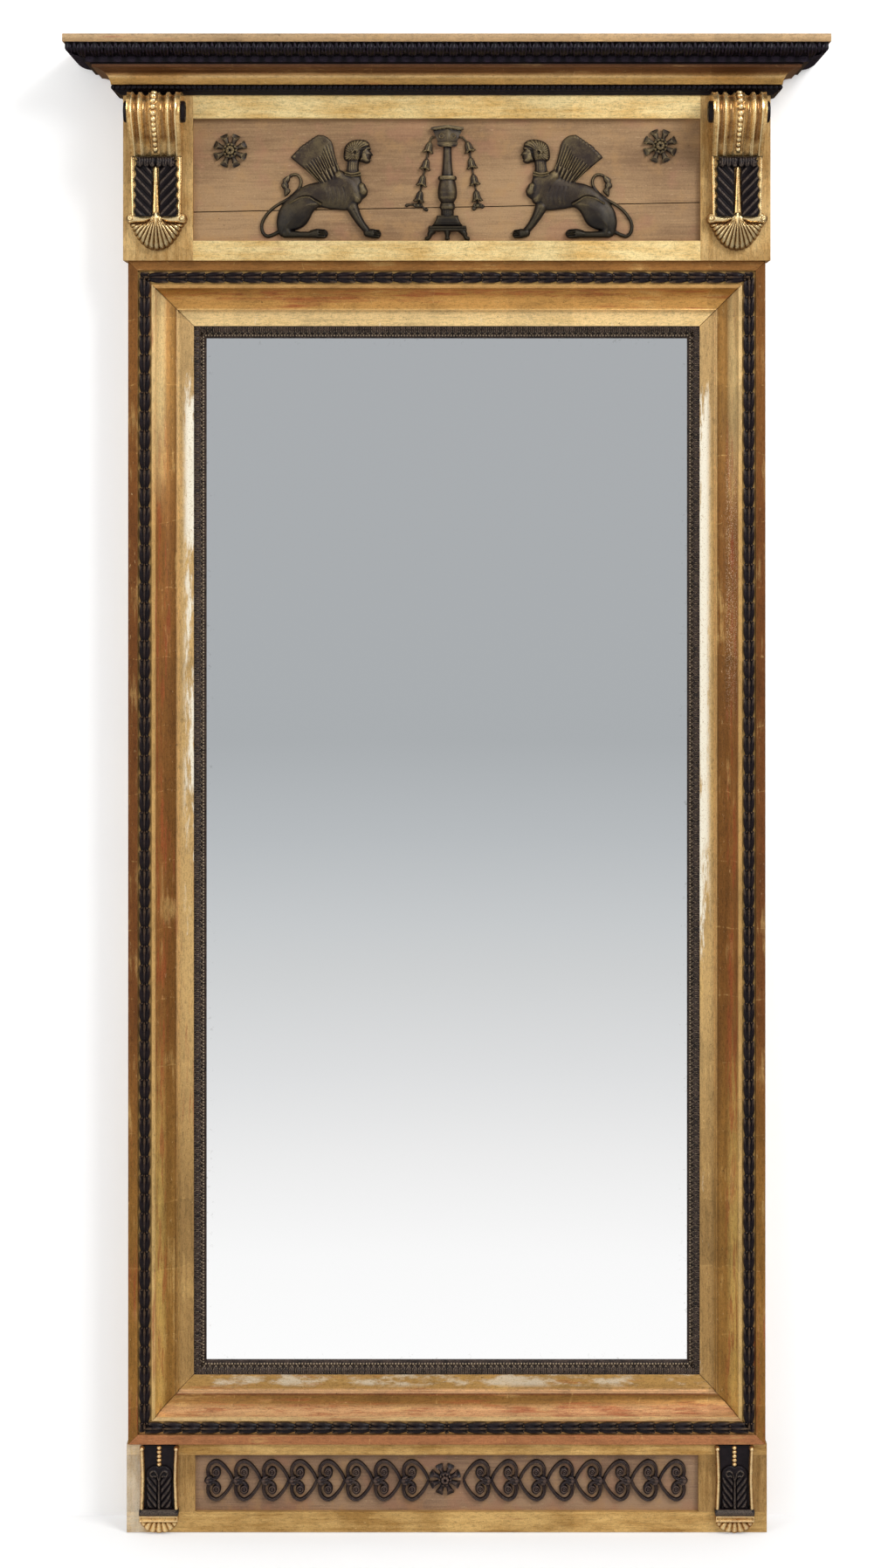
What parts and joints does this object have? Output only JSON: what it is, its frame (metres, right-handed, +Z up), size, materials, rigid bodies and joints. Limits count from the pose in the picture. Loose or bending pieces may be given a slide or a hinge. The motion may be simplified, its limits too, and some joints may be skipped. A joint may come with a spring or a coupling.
{
  "type": "pier mirror",
  "caption": "Tall rectangular pier mirror with a projecting cornice, figured frieze on scroll consoles, laurel frame, scrolled apron and rear hanging rings.",
  "frame": {"origin": "middle of the bottom edge of the plane that lies against the wall", "axes": "+X to the viewer's right, +Z up, +Y towards the wall, so the front faces -Y"},
  "size_m": [0.8632, 0.1266, 1.7077],
  "materials": {
    "gilding": "worn water gilding over red bole",
    "ebonised_wood": "ebonised, dull polish",
    "pine": "aged bare softwood",
    "boled_board": "thin worn gilding on boards",
    "patinated_brass": "dark green-black patina",
    "mirror_plate": "silvered plate glass",
    "iron": "forged, lightly rusted"
  },
  "bodies": {
    "mirror_body": {"carcass_stile_left": "pine", "carcass_stile_right": "pine", "carcass_top_rail": "pine", "carcass_middle_rail": "pine", "carcass_bottom_rail": "pine", "backboard_upper": "pine", "backboard_lower": "pine", "button_screws": "iron", "hanger_staples": "iron", "frame_left_stile": "gilding", "laurel_left": "ebonised_wood", "sight_moulding_left": "ebonised_wood", "frame_right_stile": "gilding", "laurel_right": "ebonised_wood", "sight_moulding_right": "ebonised_wood", "frame_top_rail": "gilding", "laurel_top": "ebonised_wood", "sight_moulding_top": "ebonised_wood", "frame_bottom_rail": "gilding", "laurel_bottom": "ebonised_wood", "sight_moulding_bottom": "ebonised_wood", "mirror_plate": "mirror_plate", "plate_wedges": "pine", "frieze_stile_left": "gilding", "frieze_stile_right": "gilding", "frieze_top_rail": "gilding", "frieze_bottom_rail": "gilding", "frieze_board_upper": "boled_board", "frieze_board_lower": "boled_board", "frieze_rosettes": "patinated_brass", "sphinx_left": "patinated_brass", "sphinx_right": "patinated_brass", "candlestand": "patinated_brass", "garland_left": "patinated_brass", "garland_right": "patinated_brass", "console_left": "gilding", "console_right": "gilding", "console_bolsters": "ebonised_wood", "console_leaves": "ebonised_wood", "cornice_core": "pine", "cornice_bead_moulding": "ebonised_wood", "cornice_cove": "gilding", "cornice_leaf_moulding": "ebonised_wood", "cornice_top_board": "gilding", "apron_rails": "gilding", "apron_stiles": "gilding", "apron_panel": "boled_board", "base_console_left": "gilding", "base_console_right": "gilding", "base_console_leaves": "ebonised_wood", "heart_scrolls": "patinated_brass", "apron_rosette": "patinated_brass"},
    "ring_left": {"hanger_ring_left": "iron"},
    "ring_right": {"hanger_ring_right": "iron"},
    "button_lower_left": {"turn_button_lower_left": "pine"},
    "button_upper_left": {"turn_button_upper_left": "pine"},
    "button_lower_right": {"turn_button_lower_right": "pine"},
    "button_upper_right": {"turn_button_upper_right": "pine"}
  },
  "joints": [
    {"name": "ring_left_swing", "type": "hinge", "parent": "mirror_body", "child": "ring_left", "pos_m": [-0.22, -0.0066, 1.6071], "axis": [1, 0, 0], "range_deg": [-4, 180]},
    {"name": "ring_right_swing", "type": "hinge", "parent": "mirror_body", "child": "ring_right", "pos_m": [0.22, -0.0066, 1.6071], "axis": [1, 0, 0], "range_deg": [-4, 180]},
    {"name": "button_lower_left_turn", "type": "hinge", "parent": "mirror_body", "child": "button_lower_left", "pos_m": [-0.33, -0.00235, 0.42529], "axis": [0, 1, 0], "range_deg": [-90, 90]},
    {"name": "button_lower_right_turn", "type": "hinge", "parent": "mirror_body", "child": "button_lower_right", "pos_m": [0.33, -0.00235, 0.42529], "axis": [0, 1, 0], "range_deg": [-90, 90]},
    {"name": "button_upper_left_turn", "type": "hinge", "parent": "mirror_body", "child": "button_upper_left", "pos_m": [-0.33, -0.00235, 1.13391], "axis": [0, 1, 0], "range_deg": [-90, 90]},
    {"name": "button_upper_right_turn", "type": "hinge", "parent": "mirror_body", "child": "button_upper_right", "pos_m": [0.33, -0.00235, 1.13391], "axis": [0, 1, 0], "range_deg": [-90, 90]}
  ]
}
